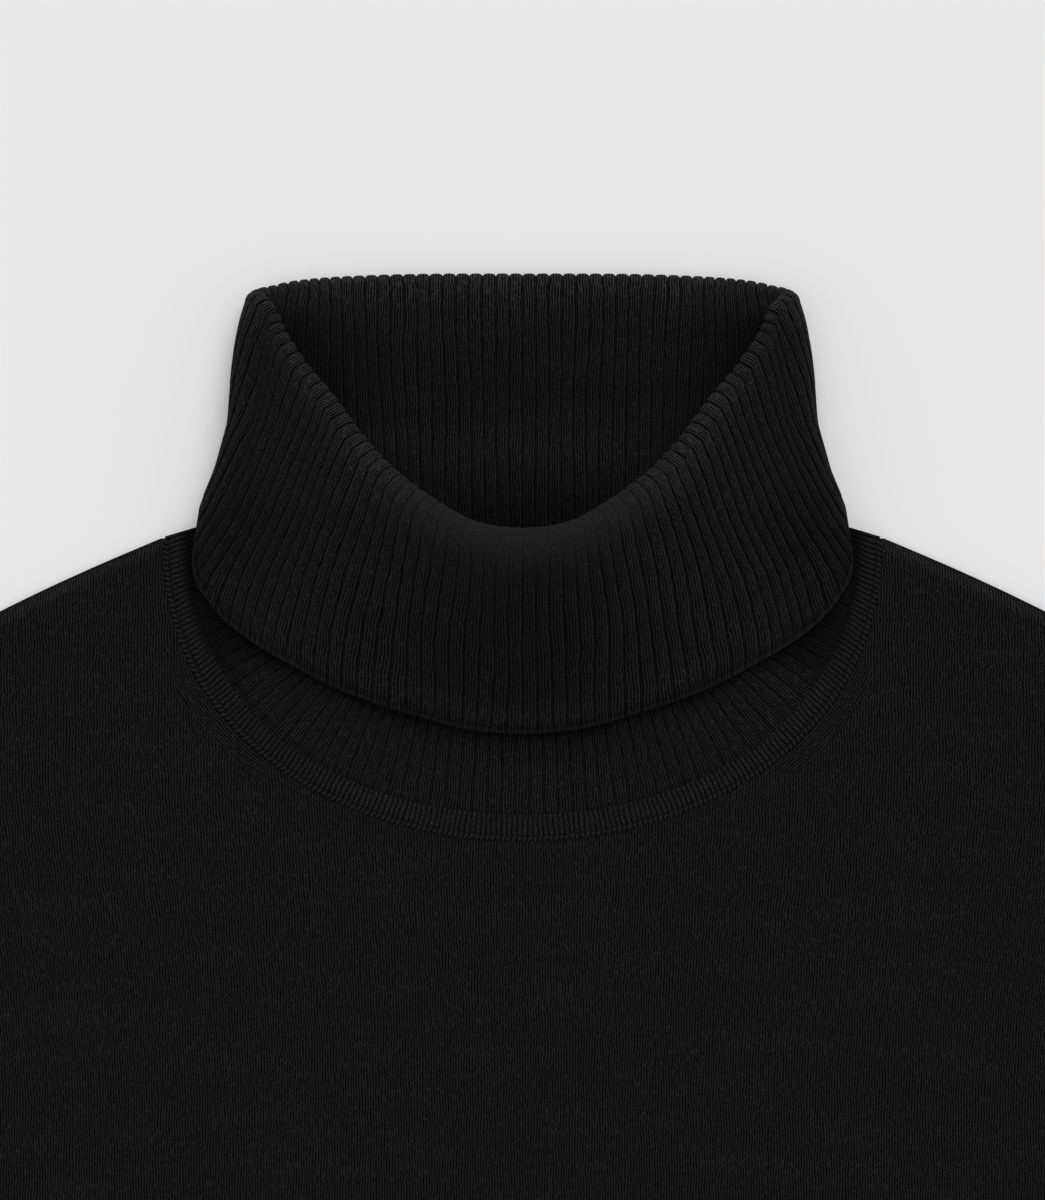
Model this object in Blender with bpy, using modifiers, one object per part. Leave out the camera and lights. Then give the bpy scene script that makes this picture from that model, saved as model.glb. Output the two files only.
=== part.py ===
"""Black roll-neck sweater laid flat on a table, front up.

X runs across the chest, Y along the body with the collar at +Y, Z up; the table is Z = 0.
Sizes are in millimetres from the level of the shoulders' neck points and become metres in the meshes.
Every wall has its own points for its two faces: ribs are raised on one face over a plain other face.
"""
import math

import bmesh
import bpy
from mathutils import Vector

MM = 0.001

# Cloth
JERSEY = 1.4
RIB_WALL = 2.0
RIB_RELIEF = 0.5
SEAM_GAP = 0.3
AIR_GAP = 1.2

# Body
HALF_NECK = 94.2
NECK_POINT_DROP = 2.4
FRONT_NECK_DEPTH = 82.6
BACK_NECK_DEPTH = 17.4
NECK_ROUNDNESS = 2.25
BACK_NECK_ROUNDNESS = 2.6
SHOULDER_SLOPE = 0.457
HALF_SHOULDER = 220.0
HALF_CHEST = 255.0
UNDERARM_DROP = 285.0
ARMHOLE_SCOOP = 20.0
HALF_WAIST = 236.0
HEM_TOP_DROP = 620.0
BODY_LENGTH = 680.0
HALF_HEM = 225.0
BACK_LEVEL = JERSEY / 2
FRONT_LEVEL = 3.3
EDGE_DIP = 0.9

# Neck band
BAND_HALF_INSIDE = 88.2
BAND_INSIDE_DEPTH = 76.1
BAND_SIDE_DROP = 0.7
BAND_BACK_HALF_INSIDE = 84.0
BAND_BACK_INSIDE_DEPTH = 11.3
BAND_FRONT_LEVEL = 3.9

# Collar
RIBS_HALF_ROUND = 52
COLLAR_TOP = 67.4
FRONT_RUN = 75.0
FOLD_RUN = 13.4
HALF_ROUND = 2 * FRONT_RUN + FOLD_RUN
SEAM_BEND = 1.9
COLLAR_BEND = 3.0
SEAM_LEVEL = 3.8
RIM_LIFT = 20.0
RIM_LIFT_RUN = 90.0
STAND_EDGE_HALF = 85.6
STAND_EDGE_BULGE = 2.2
STAND_EDGE_DEPTH = 75.8
STAND_EDGE_TUCK = 2.7
ROLL_SIDE = (RIB_WALL + AIR_GAP) / 2
ROLL_FRONT = 3.2
ROLL_FADE = 9.0
FOLD_PUFF = 1.6
LAST_FRONT_RIB = 26.0
SIDE_FOLD_RIB = 28.0
PRESSED_RIBS = 4.5
STAND_ROWS = 4

# Sleeves and cuffs
SLEEVE_LEAN = math.radians(25.0)
HALF_BICEP = 87.5
HALF_WRIST = 50.0
UNDERARM_LENGTH = 355.0
SLEEVE_BEND = 1.3
SHOULDER_HANDLE = 150.0
WRIST_HANDLE = 330.0
ARMHOLE_GAP = 0.42
UNDERARM_OFFSET = Vector((1.4, -0.9, 0.0))
SHOULDER_OFFSET = Vector((1.3, -0.4, 0.0))
HALF_CUFF = 42.5
CUFF_LENGTH = 65.0
CUFF_BEND = 1.65
RIB_PITCH = 3.6

CENTRE_Y = (COLLAR_TOP - BODY_LENGTH) / 2


# ---------------------------------------------------------------- shared shaping

def ease(share):
    share = min(max(share, 0.0), 1.0)
    return share * share * (3.0 - 2.0 * share)


def spline(keys, values, at):
    """Smooth curve through (key, value) pairs."""
    last = len(keys) - 2
    span = max(i for i in range(last + 1) if i == 0 or keys[i] <= at)

    def slope(i):
        low, high = max(i - 1, 0), min(i + 1, last + 1)
        return (values[high] - values[low]) / (keys[high] - keys[low])

    width = keys[span + 1] - keys[span]
    t = (at - keys[span]) / width
    return (values[span] * (2 * t**3 - 3 * t**2 + 1) + slope(span) * width * (t**3 - 2 * t**2 + t)
            + values[span + 1] * (3 * t**2 - 2 * t**3) + slope(span + 1) * width * (t**3 - t**2))


def stations(stops, steps):
    """Evenly spaced values between each pair of stops, ends included."""
    values = [stops[0]]
    for low, high, count in zip(stops, stops[1:], steps):
        values += [low + (high - low) * (i + 1) / count for i in range(count)]
    return values


def knit_material(name, colour):
    material = bpy.data.materials.new(name)
    material.use_nodes = True
    shader = material.node_tree.nodes["Principled BSDF"]
    shader.inputs["Base Color"].default_value = (*colour, 1.0)
    shader.inputs["Roughness"].default_value = 0.9
    shader.inputs["Metallic"].default_value = 0.0
    material.diffuse_color = (*colour, 1.0)
    return material


def wall_object(name, outer, inner, closed, material, mirror=False):
    """A cloth wall between two faces, each a list of rows of points.

    The outer rows may have twice as many steps as the inner ones, for ribs. Closed rows run round a
    tube, and a mirrored wall is half a panel whose open first column lies on the middle line.
    """
    mesh_data = bmesh.new()
    shift = Vector((0.0, -CENTRE_Y, 0.0))
    out = [[mesh_data.verts.new((p + shift) * MM) for p in row] for row in outer]
    ins = [[mesh_data.verts.new((p + shift) * MM) for p in row] for row in inner]
    ratio = round(len(outer[0]) / len(inner[0]))

    def steps(row):
        pairs = list(zip(row, row[1:]))
        return pairs + [(row[-1], row[0])] if closed else pairs

    for rows, flip in ((out, False), (ins, True)):
        for low, high in zip(rows, rows[1:]):
            for (a, b), (c, d) in zip(steps(low), steps(high)):
                mesh_data.faces.new((b, a, c, d) if flip else (a, b, d, c))
    for row_out, row_in, flip in ((out[0], ins[0], True), (out[-1], ins[-1], False)):
        around = steps(row_out)
        for index, (e, f) in enumerate(steps(row_in)):
            group = around[index * ratio:(index + 1) * ratio]
            if ratio == 1:
                faces = [(group[0][0], group[0][1], f, e)]
            else:
                crest = group[0][1]
                faces = [(group[0][0], crest, e), (crest, group[1][1], f), (crest, f, e)]
            for face in faces:
                mesh_data.faces.new(face[::-1] if flip else face)
    if not closed:
        for low_out, high_out, low_in, high_in in zip(out, out[1:], ins, ins[1:]):
            mesh_data.faces.new((low_out[-1], low_in[-1], high_in[-1], high_out[-1]))
            on_middle = mirror and max(abs(v.co.x) for v in (low_out[0], high_out[0])) < 1e-7
            if not on_middle:
                mesh_data.faces.new((low_out[0], high_out[0], high_in[0], low_in[0]))
    bmesh.ops.triangulate(mesh_data, faces=mesh_data.faces[:])
    mesh = bpy.data.meshes.new(name)
    mesh_data.to_mesh(mesh)
    mesh_data.free()
    mesh.materials.append(material)
    part = bpy.data.objects.new(name, mesh)
    COLLECTION.objects.link(part)
    if mirror:
        halves = part.modifiers.new("other half", "MIRROR")
        halves.merge_threshold = 0.00002
    return part


def thicken(middle, normals, outside, inside):
    """The two faces of a wall, from its middle rows and the way out at each point."""
    outer = [[p + n * h for p, n, h in zip(*row)] for row in zip(middle, normals, outside)]
    inner = [[p - n * inside for p, n in zip(*row)] for row in zip(middle, normals)]
    return outer, inner


# ---------------------------------------------------------------- body panels

def neck_curve(half, side_drop, depth, angle):
    """Point on a rounded neckline: angle 0 at the shoulder, a right angle at centre front."""
    fall = math.sin(angle) ** (2.0 / NECK_ROUNDNESS)
    return half * math.cos(angle), -side_drop - (depth - side_drop) * fall


def front_neck_half(y):
    fall = min((-NECK_POINT_DROP - y) / (FRONT_NECK_DEPTH - NECK_POINT_DROP), 1.0)
    return HALF_NECK * math.sqrt(1.0 - fall ** NECK_ROUNDNESS)


def back_neck_half(y):
    rise = max((y + BACK_NECK_DEPTH) / (BACK_NECK_DEPTH - NECK_POINT_DROP), 0.0)
    return HALF_NECK * rise ** (1.0 / BACK_NECK_ROUNDNESS)


SHOULDER_END = -NECK_POINT_DROP - (HALF_SHOULDER - HALF_NECK) * SHOULDER_SLOPE
SHOULDER_ANGLE = math.asin(((-NECK_POINT_DROP - SHOULDER_END) / (FRONT_NECK_DEPTH - NECK_POINT_DROP))
                           ** (NECK_ROUNDNESS / 2))
NECK_ANGLES = [0.03] + stations((0.14, SHOULDER_ANGLE, math.pi / 2), (4, 6))
ARMHOLE_ROWS = [-110.0, -150.0, -190.0, -225.0, -252.0, -271.0]


def armhole_half(y):
    share = (SHOULDER_END - y) / (SHOULDER_END + UNDERARM_DROP)
    scoop = ARMHOLE_SCOOP * math.sin(math.pi * share ** 0.8)
    return HALF_SHOULDER - scoop + (HALF_CHEST - HALF_SHOULDER) * share ** 4


def body_half(y):
    if y > SHOULDER_END:
        return HALF_NECK + (-NECK_POINT_DROP - y) / SHOULDER_SLOPE
    if y > -UNDERARM_DROP:
        return armhole_half(y)
    share = (-UNDERARM_DROP - y) / (HEM_TOP_DROP - UNDERARM_DROP)
    return HALF_CHEST - (HALF_CHEST - HALF_WAIST) * share ** 1.6


def panel(name, rows, columns, neck_half, level, edge_dip, material):
    """Half a body panel on a grid from the neckline or middle line to the outline, mirrored."""
    middle = []
    for y in rows:
        inside, outside = neck_half(y), body_half(y)
        seamed = y >= SHOULDER_END or y <= -UNDERARM_DROP
        row = []
        for share in columns:
            dip = edge_dip * ease((share - 0.9) / 0.1) if seamed else 0.0
            row.append(Vector((inside + (outside - inside) * share, y, level - dip)))
        middle.append(row)
    up = [[Vector((0, 0, 1))] * len(columns)] * len(rows)
    heights = [[JERSEY / 2] * len(columns)] * len(rows)
    outer, inner = thicken(middle[::-1], up, heights, JERSEY / 2)
    return wall_object(name, outer, inner, False, material, mirror=True)


def build_body(material):
    panel_end = -HEM_TOP_DROP + SEAM_GAP
    rows = [neck_curve(HALF_NECK, NECK_POINT_DROP, FRONT_NECK_DEPTH, angle)[1] for angle in NECK_ANGLES]
    rows += ARMHOLE_ROWS + [-UNDERARM_DROP, -360, -450, -540, -595, panel_end]
    columns = (0.0, 0.2, 0.4, 0.6, 0.8, 0.9, 0.96, 1.0)
    panel("front", rows, columns, front_neck_half, FRONT_LEVEL, EDGE_DIP, material)
    rows = [-3.2, -6.0, -10.0, -14.0, -16.6, -BACK_NECK_DEPTH, SHOULDER_END]
    rows += ARMHOLE_ROWS + [-UNDERARM_DROP, -400, -510, panel_end]
    panel("back", rows, (0.0, 0.5, 1.0), back_neck_half, BACK_LEVEL, 0.0, material)


# ---------------------------------------------------------------- rib bands at the lower edge

def hem_half(y):
    return HALF_HEM + (HALF_WAIST - HALF_HEM) * ((y + BODY_LENGTH) / (BODY_LENGTH - HEM_TOP_DROP)) ** 0.7


def build_hem(material):
    ribs = 2 * round(HALF_HEM / RIB_PITCH)
    up = Vector((0, 0, 1))
    levels = (-BODY_LENGTH, -HEM_TOP_DROP)
    for name, level, steps, relief in (("hem_front", FRONT_LEVEL, 2 * ribs, RIB_RELIEF),
                                       ("hem_back", RIB_WALL / 2, 2, 0.0)):
        shares = [2.0 * i / steps - 1.0 for i in range(steps + 1)]
        ratio = 2 if relief else 1
        outer = [[Vector((hem_half(y) * s, y, level)) + up * (RIB_WALL / 2 + relief * (i % 2))
                  for i, s in enumerate(shares)] for y in levels]
        inner = [[Vector((hem_half(y) * s, y, level - RIB_WALL / 2)) for s in shares[::ratio]]
                 for y in levels]
        wall_object(name, outer, inner, False, material)


# ---------------------------------------------------------------- sleeves and cuffs

def flat_tube(edges, outs, bend, wall, top_shares, floor_shares, relief, bows):
    """One ring of a tube pressed flat: top layer, outer fold, floor layer, inner fold.

    `edges` are its two folds in plan, inner one first, and `outs` the ways out of the tube there. Each
    layer has points at shares of the width, moved in plan by `bows`. The outer and inner points return.
    """
    up = Vector((0, 0, 1))
    low = wall / 2
    axis = low + bend
    start, end = (edge - out * bend for edge, out in zip(edges, outs))
    ring = []
    for i, share in enumerate(top_shares[:-1]):
        crest = relief if i % 2 else 0.0
        ring.append((start.lerp(end, share) + bows.get(share, Vector()) + up * (axis + bend), up, crest))
    for centre, out, turn in ((end, outs[1], up), (start, outs[0], -up)):
        for i in range(4):
            angle = math.pi * i / 4
            way = out * math.sin(angle) + turn * math.cos(angle)
            ring.append((centre + up * axis + way * bend, way, 0.0))
        if turn is up:
            for share in floor_shares[:0:-1]:
                middle = start.lerp(end, share) + bows.get(share, Vector())
                ring.append((middle + up * low, -up, 0.0))
    outer = [middle + way * (wall / 2 + crest) for middle, way, crest in ring]
    inner = [middle - way * wall / 2 for middle, way, crest in ring]
    return outer, inner


def bezier(p0, p1, p2, p3, t):
    return p0 * (1 - t)**3 + p1 * 3 * t * (1 - t)**2 + p2 * 3 * t * t * (1 - t) + p3 * t**3


def armhole_edge(y):
    """Half width of the panels at the armhole, straight between their rows."""
    rows = [SHOULDER_END, *ARMHOLE_ROWS, -UNDERARM_DROP]
    for high, low in zip(rows, rows[1:]):
        if y >= low:
            share = (high - y) / (high - low)
            return armhole_half(high) * (1 - share) + armhole_half(low) * share
    return HALF_CHEST


def build_sleeves(material, rib_material):
    along = Vector((math.sin(SLEEVE_LEAN), -math.cos(SLEEVE_LEAN), 0.0))
    across = Vector((math.cos(SLEEVE_LEAN), math.sin(SLEEVE_LEAN), 0.0))
    slope = Vector((1.0, -SHOULDER_SLOPE, 0.0)).normalized()
    underarm = Vector((HALF_CHEST, -UNDERARM_DROP, 0.0)) + UNDERARM_OFFSET
    shoulder = Vector((HALF_SHOULDER, SHOULDER_END, 0.0)) + SHOULDER_OFFSET
    wrist = underarm + across * HALF_BICEP + along * UNDERARM_LENGTH
    wrist_in, wrist_out = wrist - across * HALF_WRIST, wrist + across * HALF_WRIST
    out_in = (wrist_in - underarm).normalized().cross(Vector((0, 0, 1)))

    def outer_fold(t):
        return bezier(shoulder, shoulder + slope * SHOULDER_HANDLE, wrist_out - along * WRIST_HANDLE,
                      wrist_out, t)

    first = underarm - out_in * SLEEVE_BEND
    last = shoulder - Vector((-slope.y, slope.x, 0.0)) * SLEEVE_BEND
    rows = (-UNDERARM_DROP, *ARMHOLE_ROWS[::-1], SHOULDER_END)
    shares = [(y + UNDERARM_DROP) / (SHOULDER_END + UNDERARM_DROP) for y in rows]
    bows = {}
    for y, share in zip(rows[1:-1], shares[1:-1]):
        bows[share] = Vector((armhole_edge(y) + ARMHOLE_GAP, y, 0.0)) - first.lerp(last, share)

    # The bow of the armhole fades out along the sleeve, first at the underarm
    for side, word in ((1, "left"), (-1, "right")):
        outer, inner = [], []
        for t in (0.0, 0.05, 0.12, 0.2, 0.3, 0.42, 0.56, 0.7, 0.85, 1.0):
            fold_run = (outer_fold(min(t + 0.01, 1.0)) - outer_fold(max(t - 0.01, 0.0))).normalized()
            outs = out_in, Vector((-fold_run.y, fold_run.x, 0.0))
            ring = flat_tube((underarm.lerp(wrist_in, t), outer_fold(t)), outs, SLEEVE_BEND, JERSEY,
                             shares, shares, 0.0,
                             {share: bow * max(1.0 - t / (0.1 + 0.6 * share), 0.0) ** 2
                              for share, bow in bows.items()})
            outer.append(ring[0])
            inner.append(ring[1])
        place_rings("sleeve_" + word, outer, inner, side, material)

        rib_shares = stations((0.0, 1.0), (2 * round(2 * HALF_CUFF / RIB_PITCH),))
        outer, inner = [], []
        for distance, half in ((SEAM_GAP, HALF_CUFF + 3.0), (14.0, HALF_CUFF), (CUFF_LENGTH, HALF_CUFF)):
            centre = wrist + along * distance
            ring = flat_tube((centre - across * half, centre + across * half), (-across, across),
                             CUFF_BEND, RIB_WALL, rib_shares, stations((0.0, 1.0), (6,)), RIB_RELIEF, {})
            outer.append(ring[0])
            inner.append(ring[1])
        place_rings("cuff_" + word, outer, inner, side, rib_material)


def place_rings(name, outer, inner, side, material):
    """Rings of the wearer's left sleeve, at +X, or their mirror image for the right one."""
    if side < 0:
        outer = [[Vector((-p.x, p.y, p.z)) for p in reversed(row)] for row in outer]
        inner = [[Vector((-p.x, p.y, p.z)) for p in reversed(row)] for row in inner]
    wall_object(name, outer[::-1], inner[::-1], True, material)


# ---------------------------------------------------------------- linking strips round the neck

def build_neck_bands(material):
    up = Vector((0, 0, 1))
    front_in, front_out, back_in, back_out = [], [], [], []
    for side, angles in ((-1, NECK_ANGLES), (1, NECK_ANGLES[-2::-1])):
        for angle in angles:
            x, y = neck_curve(BAND_HALF_INSIDE, BAND_SIDE_DROP, BAND_INSIDE_DEPTH, angle)
            front_in.append(Vector((side * x, y, BAND_FRONT_LEVEL)))
            x, y = neck_curve(HALF_NECK - SEAM_GAP, NECK_POINT_DROP, FRONT_NECK_DEPTH - SEAM_GAP, angle)
            front_out.append(Vector((side * x, y, BAND_FRONT_LEVEL)))
    outside_depth = BACK_NECK_DEPTH - SEAM_GAP
    for share in stations((-1.0, 1.0), (24,)):
        rise = abs(share) ** BACK_NECK_ROUNDNESS
        y = -BAND_BACK_INSIDE_DEPTH + (BAND_BACK_INSIDE_DEPTH - BAND_SIDE_DROP) * rise
        back_in.append(Vector((BAND_BACK_HALF_INSIDE * share, y, RIB_WALL / 2)))
        y = -outside_depth + (outside_depth - NECK_POINT_DROP) * rise
        back_out.append(Vector(((HALF_NECK - SEAM_GAP) * share, y, RIB_WALL / 2)))
    for name, rows in (("neck_band_front", (front_out, front_in)), ("neck_band_back", (back_out, back_in))):
        outer = [[p + up * RIB_WALL / 2 for p in row] for row in rows]
        inner = [[p - up * RIB_WALL / 2 for p in row] for row in rows]
        wall_object(name, outer, inner, False, material)


# ---------------------------------------------------------------- collar

# Level along the collar and half its width over the cloth, from the top corners to the shoulders
COLLAR_OUTLINE = (
    (-100.0, 101.0), (-30.0, 99.0), (-15.0, 95.5), (-6.0, 91.6), (0.0, 88.2), (4.7, 85.6), (12.6, 82.2),
    (20.5, 79.7), (28.4, 77.8), (38.9, 77.0), (52.0, 75.2), (60.0, 72.9), (66.0, 71.0),
)


def collar_bend(y):
    """Bend radius of the stand's middle at the side fold, tighter towards the seam."""
    return SEAM_BEND + (COLLAR_BEND - SEAM_BEND) * ease((y + 15.0) / 30.0)


def fold_axis(y):
    """Height of the side fold's axis: the stand lies on the table, then on the fold-over's back."""
    return RIB_WALL / 2 + (RIB_WALL + AIR_GAP) * ease((y + 11.0) / 21.0) + collar_bend(y)


def fold_start(y):
    """Half the width of the flat stretch between the two side folds."""
    levels, halves = zip(*COLLAR_OUTLINE)
    over_cloth = collar_bend(y) + 2 * ROLL_SIDE + RIB_WALL / 2 + RIB_RELIEF
    return spline(levels, halves, y) - over_cloth


def collar_point(around, y, lift):
    """A point `around` the collar from centre front, `lift` outside the middle of the stand."""
    start, bend = fold_start(y), collar_bend(y)
    axis, radius = fold_axis(y), bend + lift
    if around <= FRONT_RUN:
        x = around + (start - FRONT_RUN) * around * abs(around) ** 3 / FRONT_RUN ** 4
        crest = SEAM_LEVEL + RIM_LIFT * ease((y + STAND_EDGE_DEPTH) / RIM_LIFT_RUN)
        bell = max(1.0 - (x / start) ** 2, 0.0) ** 3
        return Vector((x, y, axis + radius + (crest - axis - bend) * bell))
    if around < FRONT_RUN + FOLD_RUN:
        angle = math.pi * (around - FRONT_RUN) / FOLD_RUN
        return Vector((start + radius * math.sin(angle), y, axis + radius * math.cos(angle)))
    rest = HALF_ROUND - around
    x = rest + (start - FRONT_RUN) * rest * abs(rest) ** 3 / FRONT_RUN ** 4
    return Vector((x, y, axis - radius))


def collar_normal(around, y):
    step = 0.05
    along_ring = collar_point(around + step, y, ROLL_SIDE) - collar_point(around - step, y, ROLL_SIDE)
    along_rib = collar_point(around, y + step, ROLL_SIDE) - collar_point(around, y - step, ROLL_SIDE)
    return along_ring.cross(along_rib).normalized()


def on_front(x, y):
    around = x
    for _ in range(30):
        around = x - (fold_start(y) - FRONT_RUN) * (around / FRONT_RUN) ** 4
    return around, y


def on_fold(degrees, y):
    return FRONT_RUN + FOLD_RUN * degrees / 180.0, y


def on_back(x, y):
    return HALF_ROUND - on_front(x, y)[0], y


def stand_edge(degrees):
    """Lower edge of the stand inside the neck band, tucked in where it meets the side fold."""
    angle = math.radians(degrees)
    bulge = STAND_EDGE_BULGE * math.sin(2 * angle) ** 2
    x, y = neck_curve(STAND_EDGE_HALF + bulge, 0.0, STAND_EDGE_DEPTH, angle)
    return on_front(x - STAND_EDGE_TUCK * math.exp(y / 4.0), y)


# Guide ribs, counted from centre front: where each crosses the rim, the middle of the fold-over, the
# fold-over's hem and the stand's lower edge
GUIDE_RIBS = (
    (0.0, on_front(0, -1.6), on_front(0, -27.4), on_front(0, -53.2), stand_edge(90)),
    (2.6, on_front(9.7, -0.7), on_front(11.1, -26.3), on_front(12.2, -52.7), stand_edge(81.9)),
    (4.8, on_front(17.6, 1.8), on_front(20.3, -23.8), on_front(22.1, -50.0), stand_edge(75)),
    (9.7, on_front(32.8, 11.2), on_front(40.2, -15.5), on_front(45.0, -43.0), stand_edge(59.5)),
    (13.8, on_front(43.6, 21.4), on_front(54.0, -4.5), on_front(62.4, -34.6), stand_edge(46.5)),
    (18.0, on_front(52.6, 33.3), on_front(63.4, 6.5), on_front(76.4, -25.6), stand_edge(33.5)),
    (20.2, on_front(57.8, 39.2), on_front(67.4, 13.5), on_front(84.4, -16.2), stand_edge(26.5)),
    (22.0, on_front(61.7, 45.0), on_front(70.6, 19.5), on_front(86.6, -9.0), stand_edge(20)),
    (24.3, on_front(65.6, 52.0), on_fold(20, 27), on_fold(60, 2.5), stand_edge(12)),
    (26.5, on_fold(25, 57.4), on_fold(70, 32), on_fold(140, 8.5), stand_edge(4.5)),
    (29.2, on_fold(95, 59.5), on_fold(140, 35), on_back(72.0, 10.6), on_fold(70, 0.3)),
    (31.9, on_fold(178, 61.3), on_back(66.0, 36.4), on_back(62.3, 10.8), on_back(79.0, -0.9)),
    (34.0, on_back(59.3, 62.5), on_back(57.5, 37.0), on_back(55.8, 10.8), on_back(66.0, -4.7)),
    (38.0, on_back(48.2, 63.5), on_back(46.0, 37.4), on_back(43.4, 10.8), on_back(47.0, -8.4)),
    (44.0, on_back(28.2, 64.2), on_back(26.6, 37.6), on_back(24.8, 10.8), on_back(26.5, -10.4)),
    (52.0, on_back(0, 64.3), on_back(0, 37.7), on_back(0, 10.8), on_back(0, -11.0)),
)


def guide(column, rib):
    """Place round the collar and level of one guide line at any rib, even about both middle lines."""
    rows = [(row[0], *row[column]) for row in GUIDE_RIBS]
    before, after = rows[1], rows[-2]
    rows = [(-before[0], -before[1], before[2]), *rows,
            (2 * RIBS_HALF_ROUND - after[0], 2 * HALF_ROUND - after[1], after[2])]
    ribs, arounds, levels = zip(*rows)
    return spline(ribs, arounds, rib), spline(ribs, levels, rib)


def collar_column(rib):
    """Middle points and rib side directions up the stand, over the rim and down the fold-over."""
    rim, middle, hem, seam = (guide(column, rib) for column in (1, 2, 3, 4))
    front_share = max(1.0 - (rib / LAST_FRONT_RIB) ** 2, 0.0)
    roll = ROLL_SIDE + (ROLL_FRONT - ROLL_SIDE) * front_share
    points, ways = [], []

    def add(around, y, share_out, reach, puff=0.0):
        spread = ROLL_SIDE + (roll - ROLL_SIDE) * math.exp(-(reach / ROLL_FADE) ** 2)
        points.append(collar_point(around, y, ROLL_SIDE + share_out * spread + puff))
        ways.append(collar_normal(around, y) * share_out)

    length = math.dist(rim, seam)
    for t in (1.0, 0.86, 0.62, 0.28):
        add(*(r + (s - r) * t for r, s in zip(rim, seam)), -1.0, length * t)

    centre = collar_point(*rim, ROLL_SIDE)
    normal = collar_normal(*rim)
    step = 0.05 if rib < RIBS_HALF_ROUND - 0.1 else -0.05
    ahead = collar_point(*guide(1, rib + step), ROLL_SIDE) - centre
    out_of_cloth = normal.cross(ahead if step > 0 else -ahead).normalized()
    for i in range(5):
        angle = math.pi * i / 4
        way = out_of_cloth * math.sin(angle) - normal * math.cos(angle)
        points.append(centre + way * roll)
        ways.append(way)

    length = math.dist(rim, hem)
    for t in (0.12, 0.3, 0.52, 0.76, 1.0):
        curve = [r * (1 - t) * (1 - 2 * t) + 4 * m * t * (1 - t) + h * t * (2 * t - 1)
                 for r, m, h in zip(rim, middle, hem)]
        add(*curve, 1.0, length * t, FOLD_PUFF * math.sin(math.pi * t) * front_share)
    return points, ways


def build_collar(material):
    half_round = 2 * RIBS_HALF_ROUND
    halves = [collar_column(i / 2) for i in range(half_round + 1)]
    columns = [(side, i) for side, run in ((1, range(half_round + 1)), (-1, range(half_round - 1, 0, -1)))
               for i in run]
    outer, inner = [], []
    for row in range(len(halves[0][0])):
        ribbed, plain = [], []
        for side, i in columns:
            point, way = halves[i][0][row].copy(), halves[i][1][row].copy()
            point.x *= side
            way.x *= side
            pressed = row == 0 or (row < STAND_ROWS and abs(i / 2 - SIDE_FOLD_RIB) < PRESSED_RIBS)
            ridge = RIB_RELIEF if i % 2 == 0 and not pressed else 0.0
            ribbed.append(point + way * (RIB_WALL / 2 + ridge))
            if i % 2 == 0:
                plain.append(point - way * RIB_WALL / 2)
        outer.append(ribbed)
        inner.append(plain)
    for row in outer + inner:
        for point in row:
            point.z = max(point.z, 0.0)
    wall_object("collar", outer[::-1], inner[::-1], True, material)


# ---------------------------------------------------------------- assembly

for old in list(bpy.data.objects):
    bpy.data.objects.remove(old, do_unlink=True)

COLLECTION = bpy.data.collections.new("roll_neck_sweater")
bpy.context.scene.collection.children.link(COLLECTION)

jersey = knit_material("black jersey", (0.012, 0.012, 0.013))
rib = knit_material("black rib", (0.014, 0.014, 0.015))
band = knit_material("black linking band", (0.010, 0.010, 0.011))

build_body(jersey)
build_hem(rib)
build_sleeves(jersey, rib)
build_neck_bands(band)
build_collar(rib)
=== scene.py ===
import math

import bmesh
import bpy
import numpy as np
from mathutils import Matrix, Vector


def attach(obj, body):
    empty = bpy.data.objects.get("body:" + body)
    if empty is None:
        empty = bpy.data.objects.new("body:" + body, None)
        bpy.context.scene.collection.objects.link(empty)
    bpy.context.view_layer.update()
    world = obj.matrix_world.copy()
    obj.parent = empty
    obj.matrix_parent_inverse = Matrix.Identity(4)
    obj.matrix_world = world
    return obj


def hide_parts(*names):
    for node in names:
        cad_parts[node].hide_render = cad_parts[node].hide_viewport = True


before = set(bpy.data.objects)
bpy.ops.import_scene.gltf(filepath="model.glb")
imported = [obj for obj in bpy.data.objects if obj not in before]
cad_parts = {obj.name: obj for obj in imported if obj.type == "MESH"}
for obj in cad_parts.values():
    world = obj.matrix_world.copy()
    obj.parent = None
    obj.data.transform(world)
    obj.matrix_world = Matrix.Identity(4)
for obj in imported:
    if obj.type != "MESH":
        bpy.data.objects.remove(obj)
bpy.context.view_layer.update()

# ------------ roll collar
# One tube of ribbing in black merino, two wales to a rib, linked to the neckline. It stands 84 mm high
# and is turned down over itself for 54 mm, to a free edge cast off in a thin rolled bead.

# Lengths are in millimetres, and levels run up from the ends of the neck seam
MIDDLE_Y = -306.3
RIBS_HALF_ROUND = 52
KNITTED_RIBS = 56
COLLAR_WALL = 2.0
COLLAR_COURSE = 1.2
RIB_CREST = 0.5
RIB_DEPTH = 1.05
FRONT_RUN = 75.0
FOLD_RUN = 13.4
HALF_ROUND = 2 * FRONT_RUN + FOLD_RUN
AIR_GAP = 1.2
ROLL_SIDE = (COLLAR_WALL + AIR_GAP) / 2
ROLL_FRONT = 3.2
ROLL_FADE = 9.0
FOLD_PUFF = 1.6
LAST_FRONT_RIB = 26.0
SEAM_LEVEL = 3.8
SEAM_DEPTH = 75.8
SEAM_HALF = 85.6
BEAD = 1.2
TURN_DOWN = 54.0

# Level along the collar and half its width over the cloth
COLLAR_OUTLINE = (
    (-100.0, 101.0), (-30.0, 99.0), (-15.0, 95.5), (-6.0, 91.6), (0.0, 88.2), (4.7, 85.6), (12.6, 82.2),
    (20.5, 79.7), (28.4, 77.8), (38.9, 77.0), (52.0, 75.2), (60.0, 72.9), (66.0, 71.0),
)


def ease(share):
    share = np.clip(share, 0.0, 1.0)
    return share * share * (3.0 - 2.0 * share)


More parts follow.
